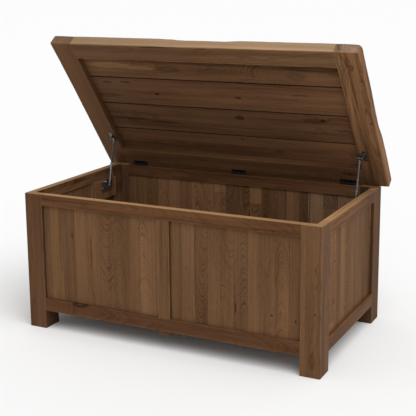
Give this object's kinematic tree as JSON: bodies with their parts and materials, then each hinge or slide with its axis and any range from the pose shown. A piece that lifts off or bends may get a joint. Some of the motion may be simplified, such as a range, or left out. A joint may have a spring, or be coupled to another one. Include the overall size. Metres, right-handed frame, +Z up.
{
  "type": "wooden chest",
  "caption": "Frame-and-panel wooden chest on corner posts with a hinged breadboard lid that telescopic side stays hold open.",
  "frame": {"origin": "on the floor under the middle of the chest's box with the lid open as stored", "axes": "+Z up, +X along the width to the right as seen from the front, -Y towards the front"},
  "size_m": [1.102, 0.6092, 0.9701],
  "materials": {
    "frame_oak": "satin oiled oak",
    "panel_oak": "satin oiled oak, edge-glued staves",
    "lid_frame_oak": "satin oiled oak",
    "lid_plank_oak": "satin oiled oak",
    "floor_oak": "satin oak, edge-glued staves",
    "inner_oak": "planed oak",
    "black_steel": "black satin",
    "screw_steel": "dull",
    "plated_steel": "bright zinc plating"
  },
  "bodies": {
    "case": {"front_left_post": "frame_oak", "front_right_post": "frame_oak", "rear_left_post": "frame_oak", "rear_right_post": "frame_oak", "front_top_rail": "frame_oak", "front_bottom_rail": "frame_oak", "front_muntin": "frame_oak", "front_left_panel": "panel_oak", "front_right_panel": "panel_oak", "back_top_rail": "frame_oak", "back_bottom_rail": "frame_oak", "back_left_panel": "panel_oak", "back_middle_panel": "panel_oak", "back_right_panel": "panel_oak", "left_top_rail": "frame_oak", "left_bottom_rail": "frame_oak", "left_panel": "panel_oak", "right_top_rail": "frame_oak", "right_bottom_rail": "frame_oak", "right_panel": "panel_oak", "floor_panel": "floor_oak", "front_floor_cleat": "inner_oak", "back_floor_cleat": "inner_oak", "centre_bearer": "inner_oak", "bearer_screws": "screw_steel", "left_stay_block": "inner_oak", "right_stay_block": "inner_oak", "left_hinge_case_leaf": "black_steel", "centre_hinge_case_leaf": "black_steel", "right_hinge_case_leaf": "black_steel", "hinge_pins": "black_steel", "hinge_case_screws": "screw_steel", "left_stay_lower_bracket": "plated_steel", "right_stay_lower_bracket": "plated_steel", "stay_case_screws": "screw_steel"},
    "lid": {"lid_left_end": "lid_frame_oak", "lid_right_end": "lid_frame_oak", "lid_front_rail": "lid_frame_oak", "lid_back_rail": "lid_frame_oak", "lid_plank_1": "lid_plank_oak", "lid_plank_2": "lid_plank_oak", "lid_plank_3": "lid_plank_oak", "lid_plank_4": "lid_plank_oak", "left_hinge_lid_leaf": "black_steel", "centre_hinge_lid_leaf": "black_steel", "right_hinge_lid_leaf": "black_steel", "hinge_lid_screws": "screw_steel", "left_stay_upper_bracket": "plated_steel", "right_stay_upper_bracket": "plated_steel", "stay_lid_screws": "screw_steel"},
    "left_swivel": {"left_stay_swivel": "plated_steel"},
    "left_tube": {"left_stay_tube": "plated_steel"},
    "left_rod": {"left_stay_rod": "plated_steel", "left_stay_socket": "plated_steel"},
    "right_swivel": {"right_stay_swivel": "plated_steel"},
    "right_tube": {"right_stay_tube": "plated_steel"},
    "right_rod": {"right_stay_rod": "plated_steel", "right_stay_socket": "plated_steel"}
  },
  "joints": [
    {"name": "lid_hinge", "type": "hinge", "parent": "case", "child": "lid", "pos_m": [0, 0.26985, 0.471], "axis": [1, 0, 0], "range_deg": [0, 53]},
    {"name": "left_swivel_turn", "type": "hinge", "parent": "case", "child": "left_swivel", "pos_m": [-0.472, 0.13635, 0.41975], "axis": [1, 0, 0], "range_deg": [-0.1, 26.6]},
    {"name": "left_tube_slide", "type": "slide", "parent": "left_swivel", "child": "left_tube", "axis": [0, -0.2452, -0.9695], "range_m": [-0.0002, 0.0582]},
    {"name": "left_rod_slide", "type": "slide", "parent": "left_tube", "child": "left_rod", "axis": [0, -0.2452, -0.9695], "range_m": [-0.0002, 0.0618]},
    {"name": "right_swivel_turn", "type": "hinge", "parent": "case", "child": "right_swivel", "pos_m": [0.48, 0.13635, 0.41975], "axis": [1, 0, 0], "range_deg": [-0.1, 26.6]},
    {"name": "right_tube_slide", "type": "slide", "parent": "right_swivel", "child": "right_tube", "axis": [0, -0.2452, -0.9695], "range_m": [-0.0002, 0.0582]},
    {"name": "right_rod_slide", "type": "slide", "parent": "right_tube", "child": "right_rod", "axis": [0, -0.2452, -0.9695], "range_m": [-0.0002, 0.0618]}
  ],
  "couplings": [
    {"joint": "left_swivel_turn", "follows": "lid_hinge", "ratio": 0.5},
    {"joint": "left_tube_slide", "follows": "lid_hinge", "m_per_rad": 0.062701},
    {"joint": "left_rod_slide", "follows": "lid_hinge", "m_per_rad": 0.066593},
    {"joint": "right_swivel_turn", "follows": "lid_hinge", "ratio": 0.5},
    {"joint": "right_tube_slide", "follows": "lid_hinge", "m_per_rad": 0.062701},
    {"joint": "right_rod_slide", "follows": "lid_hinge", "m_per_rad": 0.066593}
  ]
}
